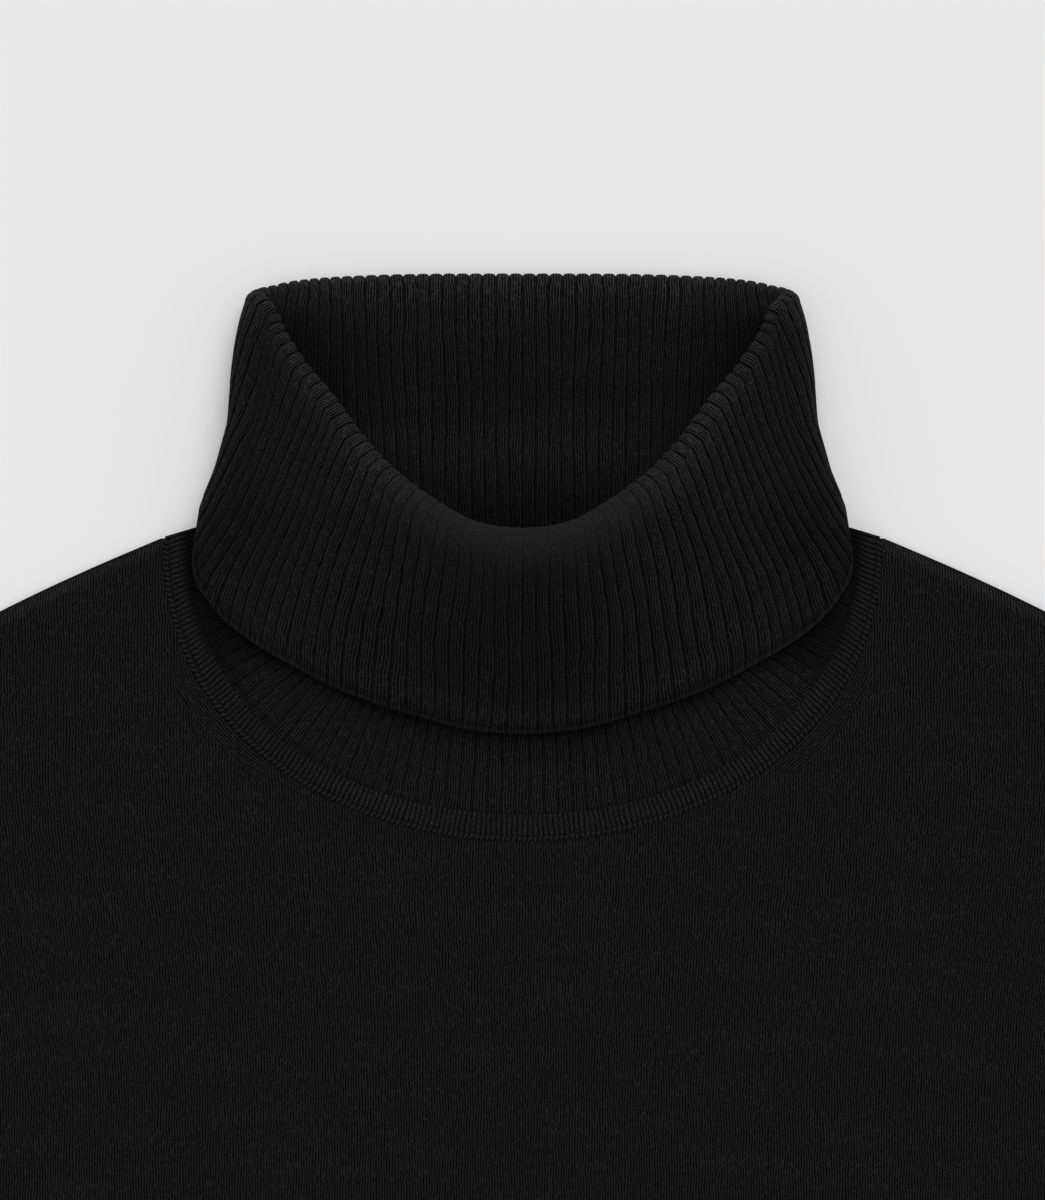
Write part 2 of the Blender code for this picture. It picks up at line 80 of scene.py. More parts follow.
def hump(values, middle, width, power=2):
    """1 at `middle`, falling smoothly to 0 on both sides of it."""
    return np.exp(-((values - middle) / width) ** power)


def side_by_side(*parts):
    """The parts along a last axis of one array, such as x, y and z."""
    return np.stack(np.broadcast_arrays(*parts), axis=-1)


def smooth_curve(keys, values, at):
    """Smooth curve through (key, value) pairs, at any array of keys."""
    keys, values = np.asarray(keys, float), np.asarray(values, float)
    low = np.maximum(np.arange(len(keys)) - 1, 0)
    high = np.minimum(np.arange(len(keys)) + 1, len(keys) - 1)
    slopes = (values[high] - values[low]) / (keys[high] - keys[low])
    span = np.clip(np.searchsorted(keys, at, side="right") - 1, 0, len(keys) - 2)
    width = keys[span + 1] - keys[span]
    t = (at - keys[span]) / width
    return (values[span] * (2 * t**3 - 3 * t**2 + 1) + slopes[span] * width * (t**3 - 2 * t**2 + t)
            + values[span + 1] * (3 * t**2 - 2 * t**3) + slopes[span + 1] * width * (t**3 - t**2))


def collar_bend(y):
    return 1.9 + 1.1 * ease((y + 15.0) / 30.0)


def fold_axis(y):
    return COLLAR_WALL / 2 + (COLLAR_WALL + AIR_GAP) * ease((y + 11.0) / 21.0) + collar_bend(y)


def fold_start(y):
    levels, halves = zip(*COLLAR_OUTLINE)
    return smooth_curve(levels, halves, y) - (collar_bend(y) + 2 * ROLL_SIDE + COLLAR_WALL / 2 + RIB_CREST)


def collar_point(around, y, lift=ROLL_SIDE):
    """Points `around` the flattened collar from centre front, `lift` outside the middle of the stand."""
    start, bend, axis = fold_start(y), collar_bend(y), fold_axis(y)
    radius = bend + lift
    flat = np.where(around <= FRONT_RUN, around, HALF_ROUND - around)
    x = flat + (start - FRONT_RUN) * flat * np.abs(flat) ** 3 / FRONT_RUN ** 4
    crest = SEAM_LEVEL + 20.0 * ease((y + SEAM_DEPTH) / 90.0)
    bell = np.maximum(1.0 - (x / start) ** 2, 0.0) ** 3
    turn = math.pi * np.clip((around - FRONT_RUN) / FOLD_RUN, 0.0, 1.0)
    on_front, on_back = around <= FRONT_RUN, around >= FRONT_RUN + FOLD_RUN
    z = np.where(on_front, axis + radius + (crest - axis - bend) * bell, axis + radius * np.cos(turn))
    x = np.where(on_front | on_back, x, start + radius * np.sin(turn))
    return side_by_side(x, y, z)


def unit(vectors):
    return vectors / np.linalg.norm(vectors, axis=-1, keepdims=True)


def collar_normal(around, y):
    step = 0.05
    along_ring = collar_point(around + step, y) - collar_point(around - step, y)
    along_rib = collar_point(around, y + step) - collar_point(around, y - step)
    return unit(np.cross(along_ring, along_rib))


def on_front(x, y):
    around = x
    for _ in range(30):
        around = x - (fold_start(y) - FRONT_RUN) * (around / FRONT_RUN) ** 4
    return around, y


def on_fold(degrees, y):
    return FRONT_RUN + FOLD_RUN * degrees / 180.0, y


def on_back(x, y):
    return HALF_ROUND - on_front(x, y)[0], y


def neck_curve(half, side_drop, depth, angle):
    """Points of a rounded neckline: angle 0 at the shoulder, a right angle at centre front."""
    fall = np.sin(angle) ** (2.0 / 2.25)
    return half * np.cos(angle), -side_drop - (depth - side_drop) * fall


def at_seam(degrees):
    angle = math.radians(degrees)
    x, y = neck_curve(SEAM_HALF + 2.2 * math.sin(2 * angle) ** 2, 0.0, SEAM_DEPTH, angle)
    return on_front(x - 2.7 * math.exp(y / 4.0), y)


# Guide ribs, counted from centre front: where each crosses the rim, the middle of the turned-down part,
# its free edge and the neck seam
GUIDE_RIBS = (
    (0, on_front(0, -4.4), on_front(0, -27.4), on_front(0, -53.2), at_seam(90)),
    (2.6, on_front(9.7, -3.4), on_front(11.1, -26.3), on_front(12.2, -52.4), at_seam(81.9)),
    (4.8, on_front(17.6, -0.6), on_front(20.3, -23.8), on_front(22.1, -50.3), at_seam(75)),
    (9.7, on_front(32.8, 9.5), on_front(40.2, -15.5), on_front(45, -43), at_seam(59.5)),
    (13.8, on_front(43.6, 20.4), on_front(54, -4.5), on_front(62.4, -34.6), at_seam(46.5)),
    (18, on_front(52.6, 33), on_front(63.4, 6.5), on_front(76.4, -25.6), at_seam(33.5)),
    (20.2, on_front(57.8, 39.2), on_front(67.4, 13.5), on_front(84.4, -16.2), at_seam(26.5)),
    (22, on_front(61.7, 45), on_front(70.6, 19.5), on_front(86.6, -9), at_seam(20)),
    (24.3, on_front(65.6, 52), on_fold(20, 27), on_fold(60, 2.5), at_seam(12)),
    (26.5, on_fold(25, 57.4), on_fold(70, 32), on_fold(140, 8.5), at_seam(4.5)),
    (29.2, on_fold(95, 59.5), on_fold(140, 35), on_back(72, 10.6), on_fold(70, 0.3)),
    (31.9, on_fold(178, 61.3), on_back(66, 36.4), on_back(62.3, 10.8), on_back(79, -0.9)),
    (34, on_back(59.3, 62.5), on_back(57.5, 37), on_back(55.8, 10.8), on_back(66, -4.7)),
    (38, on_back(48.2, 63.5), on_back(46, 37.4), on_back(43.4, 10.8), on_back(47, -8.4)),
    (44, on_back(28.2, 64.2), on_back(26.6, 37.6), on_back(24.8, 10.8), on_back(26.5, -10.4)),
    (52, on_back(0, 64.3), on_back(0, 37.7), on_back(0, 10.8), on_back(0, -11)),
)
RIM, MIDDLE, FREE_EDGE, SEAM = range(1, 5)


def guide(column, ribs):
    """Place round the collar and level of one guide line, even about both middle lines."""
    rows = [(row[0], *row[column]) for row in GUIDE_RIBS]
    before, after = rows[1], rows[-2]
    rows = [(-before[0], -before[1], before[2]), *rows,
            (2 * RIBS_HALF_ROUND - after[0], 2 * HALF_ROUND - after[1], after[2])]
    keys, arounds, levels = zip(*rows)
    return smooth_curve(keys, arounds, ribs), smooth_curve(keys, levels, ribs)


def add_object(name, data):
    thing = bpy.data.objects.new(name, data)
    bpy.context.scene.collection.objects.link(thing)
    return thing


def add_mesh(name, built, material):
    """An object with smooth faces from a finished bmesh."""
    for face in built.faces:
        face.smooth = True
    mesh = bpy.data.meshes.new(name)
    built.to_mesh(mesh)
    built.free()
    mesh.materials.append(material)
    return add_object(name, mesh)


def lay_cloth(name, grids, material, seam=0.0):
    """Knit cloth from grids of places in millimetres, each with its wale and course numbers.

    A grid may add painted light and shade for the wool, a mask, and the numbers of wales turned along an
    edge. Places closer together than `seam`, in metres, are joined.
    """
    cloth = bmesh.new()
    numbers = [cloth.loops.layers.uv.new(label) for label in ("stitches", "turned stitches")]
    floats = [cloth.verts.layers.float.new(label) for label in ("painted_light", "mask")]
    for grid in grids:
        points, stitches, painted_light, mask, turned = (*grid, *(1.0, 0.0, None)[len(grid) - 2:])
        rows, columns = points.shape[:2]
        made = bmesh.ops.create_grid(cloth, x_segments=columns - 1, y_segments=rows - 1, size=0.5)["verts"]
        place = {vert: (round((vert.co.y + 0.5) * (rows - 1)), round((vert.co.x + 0.5) * (columns - 1)))
                 for vert in made}
        metres = (points - (0.0, MIDDLE_Y, 0.0)) * 0.001
        uvs = (stitches, stitches if turned is None else turned)
        values = [np.broadcast_to(value, (rows, columns)) for value in (painted_light, mask)]
        for vert, at in place.items():
            for loop in vert.link_loops:
                for layer, uv in zip(numbers, uvs):
                    loop[layer].uv = uv[at]
            vert.co = metres[at]
            for layer, value in zip(floats, values):
                vert[layer] = value[at]
    if seam:
        bmesh.ops.remove_doubles(cloth, verts=cloth.verts[:], dist=seam)
    piece = add_mesh(name, cloth, material)
    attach(piece, "root")
    return piece


def grey(value):
    return value, value, value, 1.0


def set_inputs(tree, node, values):
    """Set inputs by number or name, or link the ones that are given a socket."""
    for key, value in values.items():
        if isinstance(value, bpy.types.NodeSocket):
            tree.links.new(value, node.inputs[key])
        else:
            node.inputs[key].default_value = value


def add_node(tree, kind, inputs=(), **settings):
    node = tree.nodes.new(kind)
    for key, value in settings.items():
        setattr(node, key, value)
    set_inputs(tree, node, dict(inputs))
    return node


def math_node(tree, operation, *values, clamp=False):
    return add_node(tree, "ShaderNodeMath", enumerate(values), operation=operation,
                    use_clamp=clamp).outputs[0]


def mix_colour(tree, factor, low, high):
    return add_node(tree, "ShaderNodeMix", {0: factor, 6: low, 7: high}, data_type="RGBA").outputs[2]


def scale_colour(tree, colour, factor):
    return add_node(tree, "ShaderNodeVectorMath", {0: colour, "Scale": factor}, operation="SCALE").outputs[0]


def map_range(tree, value, start, end, low=0.0, high=1.0, kind="LINEAR"):
    """From `low` to `high` as the value goes from `start` to `end`, and level beyond them."""
    return add_node(tree, "ShaderNodeMapRange", {0: value, 1: start, 2: end, 3: low, 4: high},
                    interpolation_type=kind).outputs[0]


def painted(tree, name):
    """A number kept on the mesh's points, such as the painted light and shade, or a mask."""
    return add_node(tree, "ShaderNodeAttribute", attribute_name=name).outputs["Fac"]


def stitch_numbers(tree, name="stitches"):
    return add_node(tree, "ShaderNodeUVMap", uv_map=name).outputs[0]


def new_group(name, inputs, outputs):
    group = bpy.data.node_groups.new(name, "ShaderNodeTree")
    for kind, label, value in inputs:
        socket = group.interface.new_socket(label, in_out="INPUT", socket_type="NodeSocket" + kind)
        if value is not None:
            socket.default_value = value
    for kind, label in outputs:
        group.interface.new_socket(label, in_out="OUTPUT", socket_type="NodeSocket" + kind)
    return group, group.nodes.new("NodeGroupInput").outputs


def stitch_noise(tree, stitch, scale, low, high, stretch=(1.0, 1.0), shift=0.0, detail=2.0):
    """Soft noise on stitch numbers, from `low` to `high`."""
    moved = add_node(tree, "ShaderNodeVectorMath", {0: stitch, 1: (*stretch, 1.0), 2: (shift, shift, shift)},
                     operation="MULTIPLY_ADD").outputs[0]
    value = add_node(tree, "ShaderNodeTexNoise", {"Vector": moved, "Scale": scale, "Detail": detail},
                     noise_dimensions="2D").outputs[0]
    return map_range(tree, value, 0.28, 0.72, low, high)


def make_plain_stitches():
    """Plain knitting on wale and course numbers, with two sets of holes half a stitch apart, in painted
    shade.

    Squeeze narrows each pair of wales to leave room for a groove. Lines joins the holes along each wale with
    painted shade, and Column Groove paints shade in the gaps between wales.
    """
    group, given = new_group("plain stitches",
                             (("Vector", "Stitch", None), ("Color", "Yarn", grey(0.0144)),
                              ("Color", "Hole", grey(0.0002)), ("Float", "Holes", 0.6),
                              ("Float", "Lines", 1.25), ("Float", "Column Groove", 0.0),
                              ("Float", "Squeeze", 0.0)),
                             (("Color", "Color"), ("Float", "Height")))
    stitch = given["Stitch"]

    def maths(operation, *values, clamp=False):
        return math_node(group, operation, *values, clamp=clamp)

    def noise(scale, low, high, **more):
        return stitch_noise(group, stitch, scale, low, high, **more)

    split = add_node(group, "ShaderNodeSeparateXYZ", {0: stitch}).outputs
    in_rib = maths("WRAP", split[0], 1.0, -1.0)
    squeezed = maths("MULTIPLY_ADD", in_rib, given["Squeeze"], split[0])
    wale = maths("ADD", squeezed, noise(0.22, -0.15, 0.15, detail=1.0))
    course = maths("ADD", split[1], noise(0.15, 0.0, 1.2, shift=7.0, detail=1.0))
    wale_wave, course_wave, half_wale_wave = [
        maths("COSINE", maths("MULTIPLY", number, turns * math.pi))
        for number, turns in ((wale, 2.0), (course, 2.0), (wale, 4.0))]
    hole = map_range(group, maths("MULTIPLY", wale_wave, course_wave), -0.3, 0.75, kind="SMOOTHSTEP")
    strength = maths("MULTIPLY", noise(0.8, 0.6, 1.4, shift=3.0), given["Holes"])
    hole = maths("MULTIPLY", hole, strength, clamp=True)
    dashes = noise(1.0, 0.28, 1.53, stretch=(1.9, 0.65), shift=13.0, detail=1.0)
    worn = noise(0.11, 0.82, 1.17, stretch=(0.5, 1.0), shift=17.0, detail=1.0)
    strength = maths("MULTIPLY", maths("MULTIPLY", dashes, worn), given["Lines"])
    line = map_range(group, half_wale_wave, -0.8, 0.75, kind="SMOOTHSTEP")
    line = maths("MULTIPLY", line, strength, clamp=True)
    side = maths("MULTIPLY_ADD", maths("PINGPONG", wale, 0.5), -2.0, 1.0)
    groove = maths("MULTIPLY", maths("POWER", side, 2.0), given["Column Groove"])
    groove = maths("MULTIPLY", groove, maths("MULTIPLY_ADD", dashes, 0.5, 0.55), clamp=True)
    height = 1.0
    for dark in (hole, line, groove):
        height = maths("MULTIPLY", height, maths("SUBTRACT", 1.0, dark))
    fibres = noise(2.3, 0.65, 1.35, shift=5.0)
    streaks = noise(0.22, 0.89, 1.11, stretch=(0.16, 1.0), shift=11.0, detail=3.0)
    # painted shade: the colour blends to the dark Hole colour in the holes, lines and gaps between wales
    colour = mix_colour(group, height, given["Hole"], given["Yarn"])
    colour = scale_colour(group, colour, maths("MULTIPLY", fibres, streaks))
    add_node(group, "NodeGroupOutput", {"Color": colour, "Height": height})
    return group


def make_rib_grooves():
    """1 over the face of a rib of two wales, and less in the uneven groove beside it."""
    group, given = new_group("rib grooves", (("Vector", "Stitch", None), ("Float", "Width", 0.3)),
                             (("Float", "Face"),))
    stitch = given["Stitch"]
    split = add_node(group, "ShaderNodeSeparateXYZ", {0: stitch}).outputs
    uneven = stitch_noise(group, stitch, 0.5, -0.07, 0.07, (1.0, 0.4), 2.0)
    off = math_node(group, "ADD", math_node(group, "PINGPONG", split[0], 1.0), uneven)
    edge = math_node(group, "SUBTRACT", 1.0, given["Width"])
    groove = map_range(group, off, edge, 0.97, kind="SMOOTHSTEP")
    depth = stitch_noise(group, stitch, 0.8, 0.45, 1.0, (0.5, 0.5), 9.0)
    face = math_node(group, "SUBTRACT", 1.0, math_node(group, "MULTIPLY", groove, depth))
    add_node(group, "NodeGroupOutput", {"Face": face})
    return group


PLAIN_STITCHES = make_plain_stitches()
RIB_GROOVES = make_rib_grooves()


def use_group(tree, group, **inputs):
    values = {key.replace("_", " "): value for key, value in inputs.items()}
    return add_node(tree, "ShaderNodeGroup", values, node_tree=group).outputs


def new_material(name):
    material = bpy.data.materials.new(name)
    material.use_nodes = True
    return material


def finish_wool(material, colour, height, bump):
    """The matt, slightly hairy surface that all the wool here has, its stitches `bump` metres high."""
    tree = material.node_tree
    bumped = add_node(tree, "ShaderNodeBump", {"Height": height, "Strength": 1.0, "Distance": bump})
    # the base colour is scaled by the painted light and shade kept on the mesh's points
    set_inputs(tree, tree.nodes["Principled BSDF"],
               {"Base Color": scale_colour(tree, colour, painted(tree, "painted_light")), "Roughness": 0.92,
                "Specular IOR Level": 0.06, "Sheen Weight": 0.05, "Sheen Roughness": 0.5,
                "Sheen Tint": grey(0.5), "Normal": bumped.outputs[0]})


def rib_material(name, groove_width, groove_shade, masked=False):
    """Two-wale ribbing, with painted shade in its grooves.

    Where the mask is 1 the ribs are spread flat, without painted shade in the grooves, and the wool has a
    little raised nap.
    """
    material = new_material(name)
    tree = material.node_tree
    stitches = stitch_numbers(tree)
    squeeze = 1.0 / (1.0 - 0.6 * groove_width) - 1.0
    plain = use_group(tree, PLAIN_STITCHES, Stitch=stitches, Squeeze=squeeze, Lines=1.3, Holes=0.5)
    face = use_group(tree, RIB_GROOVES, Stitch=stitches, Width=groove_width)["Face"]
    colour, height = plain["Color"], math_node(tree, "MULTIPLY", plain["Height"], face)
    # painted shade: the colour is scaled down in the grooves between ribs, by groove_shade
    dimmed = math_node(tree, "MULTIPLY_ADD", face, groove_shade, 1.0 - groove_shade)
    if masked:
        mask = painted(tree, "mask")
        hairs = stitch_noise(tree, stitches, 1.3, 0.0, 1.0, (2.0, 1.0), 23.0, 4.0)
        colour = mix_colour(tree, mask, colour, mix_colour(tree, hairs, grey(0.005), grey(0.0102)))
        dimmed = add_node(tree, "ShaderNodeMix", {0: mask, 2: dimmed, 3: 1.0}).outputs[0]
    finish_wool(material, scale_colour(tree, colour, dimmed), height, 0.0002)
    return material


COLLAR_KNIT = rib_material("collar ribbing", 0.3, 0.85, masked=True)
RIB_KNIT = rib_material("plain ribbing", 0.3, 0.7)

# Places across one rib, its groove at both ends
ACROSS_RIB = (-0.5, -0.45, -0.38, -0.28, -0.14, 0.0, 0.14, 0.28, 0.38, 0.45)

STANDING_ROWS = 26
ROLL_ROWS = 13
BEAD_ANGLES = (20, 60, 100, 140, 180)


def groove_share(ribs):
    """0 on the crest of each rib and 1 in the grooves between them."""
    return np.abs(ribs - np.round(ribs)) * 2.0


def collar_ribs():
    """Places across every knitted rib, and their guide lines: the ribs are closer together at the front."""
    knitted = np.array([number + 0.5 + across for number in range(-KNITTED_RIBS, KNITTED_RIBS)
                        for across in ACROSS_RIB])
    knitted = np.append(knitted, KNITTED_RIBS)
    guides = np.linspace(0.0, RIBS_HALF_ROUND, 521)
    closer = (KNITTED_RIBS - RIBS_HALF_ROUND) * np.tanh(0.0475 * guides) / math.tanh(0.0475 * RIBS_HALF_ROUND)
    return knitted, np.sign(knitted) * np.interp(np.abs(knitted), guides + closer, guides)


def collar_painted_light(place, run, level, brushed_and_highlight, knots):
    """Painted light and shade of the wool: `place` is in ribs from centre front, `run` in millimetres out
    from the roll.
    """
    # painted highlight along the roll, and painted shade on the turned-down part below it: at its corners, at
    # centre front and low at the sides
    crest = np.interp(place, (6.0, 12.0, 20.0, 30.0), (4.0, 3.5, 3.0, -1.0))
    reach = np.interp(place, (10.0, 20.0, 32.0), (7.5, 6.5, 8.5))
    shine = 0.88 - 0.56 * hump(place, 0.0, 10.0, 4) + 0.14 * ease((place - 28.0) / 6.0)
    painted_light = 1.0 + shine * hump(run, crest, reach) + 0.1 * brushed_and_highlight
    painted_light *= 1.0 - 0.16 * hump(place, 26.0, 4.0) * ease((run - 4.0) / 6.0)
    painted_light *= 1.0 - 0.36 * hump(place, 0.0, 9.0) * ease((run - 9.0) / 8.0) * ease((TURN_DOWN - run) / 8.0)
    lower_side = ease((run - 28.0) / 12.0) * ease((place - 14.0) / 5.0)
    painted_light *= 1.0 - 0.06 * ease((run - 6.0) / 8.0) - 0.17 * lower_side
    # painted shade in a dotted line above the cast-off bead, and a painted highlight along the bead, brighter
    # on its knots
    bead = len(BEAD_ANGLES)
    painted_light[-bead - 2] *= 0.75
    painted_light[-bead - 1] *= 0.45 + 0.4 * knots
    painted_light[-bead:] *= 1.35 + 0.35 * knots
    # painted shade inside the collar, low down and beside the fold, with a paler painted stripe of light
    # across it
    inside = ease((-run - 5.0) / 6.0)
    painted_light *= 1.0 - inside * (0.3 * ease((64.0 - level) / 16.0) + 0.46 * hump(place, 33.5, 5.0)
                            + 0.06 * hump(level, 37.0, 7.0) - 0.26 * hump(level, 22.0, 6.0)
                            + 0.15 * ease((14.0 - level) / 8.0))
    return painted_light


def build_collar():
    knitted, ribs = collar_ribs()
    place = np.abs(ribs)
    crests = RIB_CREST - RIB_DEPTH * groove_share(knitted + 0.5) ** 4
    # at centre front the roll is fuller and its ribs are stretched flat
    front = np.maximum(1.0 - (place / LAST_FRONT_RIB) ** 2, 0.0)
    roll = ROLL_SIDE + (ROLL_FRONT - ROLL_SIDE) * front
    stretched = 0.35 + 0.55 * hump(place, 0.0, 9.0, 4)
    rows = []

    def swayed(reach):
        """The guide line of each rib `reach` from the rim: ribs wander a little."""
        free = np.clip(place / 2, 0, 1) * np.clip((RIBS_HALF_ROUND - place) / 2, 0, 1)
        sway = 0.07 * np.sin(0.9 * ribs + 0.11 * reach) + 0.05 * np.sin(0.37 * ribs - 0.17 * reach + 1.3)
        return np.abs(ribs + sway * free)

    def spread(away):
        """Half the tube's thickness, `away` millimetres from the roll."""
        return ROLL_SIDE + (roll - ROLL_SIDE) * hump(away, 0.0, ROLL_FADE)

    def add_row(middle, way, away, relief=1.0):
        """A row on the middle of the wall, the way out of it, and how high its ribs stand."""
        relief = relief * (1.0 - stretched * hump(away, 0.0, 9.0))
        rows.append((middle, way, COLLAR_WALL / 2 + crests * relief))

    # the inside of the standing part, from the neck seam up to the roll
    rim, seam = guide(RIM, place), guide(SEAM, place)
    length = np.hypot(seam[0] - rim[0], seam[1] - rim[1])
    pressed = 1.0 - 0.75 * hump(place, 28.0, 4.5)
    for t in np.linspace(1.0, 0.02, STANDING_ROWS) ** 1.15:
        swung = swayed(60.0 * t)
        rim, seam = guide(RIM, swung), guide(SEAM, swung)
        around, y = rim[0] + (seam[0] - rim[0]) * t, rim[1] + (seam[1] - rim[1]) * t
        way = -collar_normal(around, y)
        add_row(collar_point(around, y) + way * spread(length * t)[:, None], way, length * t,
                pressed + (1.0 - pressed) * (1.0 - t) ** 4)
    # the roll
    rim = guide(RIM, place)
    centre, normal = collar_point(*rim), collar_normal(*rim)
    ahead = collar_point(*guide(RIM, place + 0.05)) - centre
    out_of_cloth = unit(np.cross(normal, ahead))
    for row in range(ROLL_ROWS):
        angle = math.pi * row / (ROLL_ROWS - 1)
        way = out_of_cloth * math.sin(angle) - normal * math.cos(angle)
        add_row(centre + way * roll[:, None], way, 0.0)
    # the turned-down part, a curve through three guide points on each rib
    hem = guide(FREE_EDGE, place)
    length = np.hypot(hem[0] - rim[0], hem[1] - rim[1])
    edge = 1.0 - BEAD / length
    pulled = 1.0 - 0.4 * hump(place, 26.0, 4.0)
    for share in np.append(np.linspace(0.02, 0.965, 29), (0.982, 1.0)):
        t, swung = edge * share, swayed(-TURN_DOWN * share)
        around, y = [a * (1 - t) * (1 - 2 * t) + 4 * b * t * (1 - t) + c * t * (2 * t - 1)
                     for a, b, c in zip(guide(RIM, swung), guide(MIDDLE, swung), guide(FREE_EDGE, swung))]
        puffed = spread(length * t) + FOLD_PUFF * np.sin(math.pi * t) * front
        way = collar_normal(around, y)
        add_row(collar_point(around, y) + way * puffed[:, None], way, length * t,
                pulled * (1.0 if share < 0.97 else 0.35))
    # the cast-off bead closes under the free edge
    (before, _, _), (last, normal, _) = rows[-2:]
    down = unit(last - before)
    for degrees in BEAD_ANGLES:
        angle = math.radians(degrees)
        way = normal * math.cos(angle) + down * math.sin(angle)
        rows.append((last + down * BEAD * 0.5, way, np.full_like(ribs, COLLAR_WALL / 2 + 0.12)))
    points = np.array([middle + way * height[:, None] for middle, way, height in rows])
    points[..., 0] *= np.where(ribs < 0, -1.0, 1.0)
    points[..., 2] = np.maximum(points[..., 2], 0.0)
    steps = np.linalg.norm(np.diff(points, axis=0), axis=-1)
    run = np.concatenate([np.zeros((1, len(ribs))), np.cumsum(steps, axis=0)])
    run -= run[STANDING_ROWS + ROLL_ROWS // 2]
    stitches = side_by_side(2 * knitted + 1, run / COLLAR_COURSE)
    # wool with a raised nap at centre front and on the bead; this mask also adds a little painted highlight
    brushed_and_highlight = 0.9 * hump(place, 0.0, 9.0, 4) * hump(np.maximum(run, 0.0), 0.0, 15.0)
    brushed_and_highlight[-len(BEAD_ANGLES):] = 0.3
    knots = np.sin(4.0 * math.pi * knitted + 1.5 * np.sin(0.7 * knitted))
    painted_light = collar_painted_light(place, run, points[..., 1], brushed_and_highlight, knots)
    grid = [layer[::-1] for layer in (points, stitches, painted_light, brushed_and_highlight)]
    collar = lay_cloth("collar_knit", [grid], COLLAR_KNIT, seam=0.00002)
    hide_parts("collar")
    return collar


COLLAR = build_collar()

# ------------ standing part of the collar
# Below the turned-down edge the outside of the standing part shows. Its ribs run up from the neck band,
# square to it at the sides and nearly upright at the front.

STAND_PITCH = 3.8
STAND_SHOWN = 36.0
# Place round the neck in degrees from the shoulder, and the lean of the ribs there
STAND_LEANS = ((3.0, 86.0), (15.0, 73.0), (30.0, 56.0), (45.0, 38.0), (60.0, 19.0), (79.0, 4.5), (90.0, 0.0))


def from_shoulder(degrees):
    """Degrees from the nearer shoulder, where `degrees` runs on round the front."""
    return 90.0 - np.abs(degrees - 90.0)


def length_along(x, y):
    return np.concatenate([[0.0], np.cumsum(np.hypot(np.diff(x), np.diff(y)))])


def round_neck(half, side_drop, depth, first, count):
    """Even places along a front neckline from left to right: x, y, degrees and length from the middle.

    It starts and ends `first` degrees from the shoulders, and rises half a millimetre into them.
    """
    angle = np.linspace(math.pi - math.radians(first), math.radians(first), 1501)
    nearer = np.minimum(angle, math.pi - angle)
    x, y = neck_curve(half, side_drop, depth, nearer)
    x = np.where(angle > math.pi / 2, -x, x)
    y = y + 0.5 * np.exp(-nearer / 0.04)
    run = length_along(x, y)
    at = np.linspace(0.0, run[-1], count)
    x, y, angle = [np.interp(at, run, values) for values in (x, y, angle)]
    return x, y, np.degrees(angle), at - run[-1] / 2


def build_stand():
    x, y, degrees, run = round_neck(SEAM_HALF + 0.6, 0.0, SEAM_DEPTH - 0.8, 9.0, 641)
    keys, leans = zip(*STAND_LEANS)
    lean = np.radians(smooth_curve(keys, leans, from_shoulder(degrees))) * np.sign(x)
    ribs = run / STAND_PITCH
    relief = 0.3 - 0.7 * groove_share(ribs) ** 4
    rows, stitches = [], []
    heights = np.concatenate([[-2.2, -1.7], np.linspace(-1.2, 4.0, 10), np.linspace(6.0, STAND_SHOWN, 16)])
    for height in heights:
        across, up = x - np.sin(lean) * height, y + np.cos(lean) * height
        around = np.minimum(on_front(np.abs(across), up)[0], FRONT_RUN)
        level = collar_point(around, up, 0.0)[:, 2]
        level += COLLAR_WALL / 2 + ease((height - 0.4) / 3.2) * relief
        # its foot sinks into the neck band
        level -= 1.5 * ease((0.4 - height) / 2.6)
        rows.append(side_by_side(across, up, level))
        stitches.append(side_by_side(2.0 * ribs, height / COLLAR_COURSE))
    # painted shade where it is drawn in at the sides under the fold, and higher up under the turned-down edge
    pucker_shade = 1.0 - 0.65 * ease((35.0 - from_shoulder(degrees)) / 14.0)
    painted_light = (0.98 - 0.1 * ease((heights[:, None] - 1.0) / 5.0)) * pucker_shade
    stand = lay_cloth("collar_stand_knit", [(np.array(rows), np.array(stitches), painted_light)], RIB_KNIT)
    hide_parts("collar")
    return stand, run[-1] - run[0]


STAND, seam_run = build_stand()

# ------------ neck band
# A strip of plain knitting five stitches high joins collar and body. It is knitted round with the
# collar, so its wales point to the neck, and its outer edge is linked to the body by a chain stitch.

BAND_WALE = 1.4
BAND_COURSE = 1.2
BAND_HEIGHT = 6.3
# Half the width, drop at the shoulders and depth of the band's edges in front
BAND_INNER = (88.2, 0.7, 75.0)
BAND_LINKED = (93.9, 2.4, 81.7)


def band_material():
    """Its wales part a little towards the linked edge, where the gaps between them are darkened with painted
    shade.
    """
    material = new_material("neck band knitting")
    tree = material.node_tree
    stitches = stitch_numbers(tree)
    course = add_node(tree, "ShaderNodeSeparateXYZ", {0: stitches}).outputs[1]
    gaps = map_range(tree, course, -3.4, -4.6, 1.2, 1.6)
    plain = use_group(tree, PLAIN_STITCHES, Stitch=stitches, Column_Groove=gaps, Holes=0.45, Lines=0.25)
    finish_wool(material, plain["Color"], plain["Height"], 0.0004)
    return material


BAND_KNIT = band_material()

# Share of the way from the collar to the body, and the band's level there
BAND_PROFILE = ((-0.5, 3.2), (-0.2, 4.0), (0.05, 4.4), (0.3, 4.55), (0.55, 4.55), (0.8, 4.45), (0.94, 4.3),
                (1.04, 4.1), (1.06, 3.3))


def between(first, second, share, level):
    """A row of places `share` of the way from one line to another, at `level`."""
    x, y = [start + (end - start) * share for start, end in zip(first[:2], second[:2])]
    return side_by_side(x, y, level)


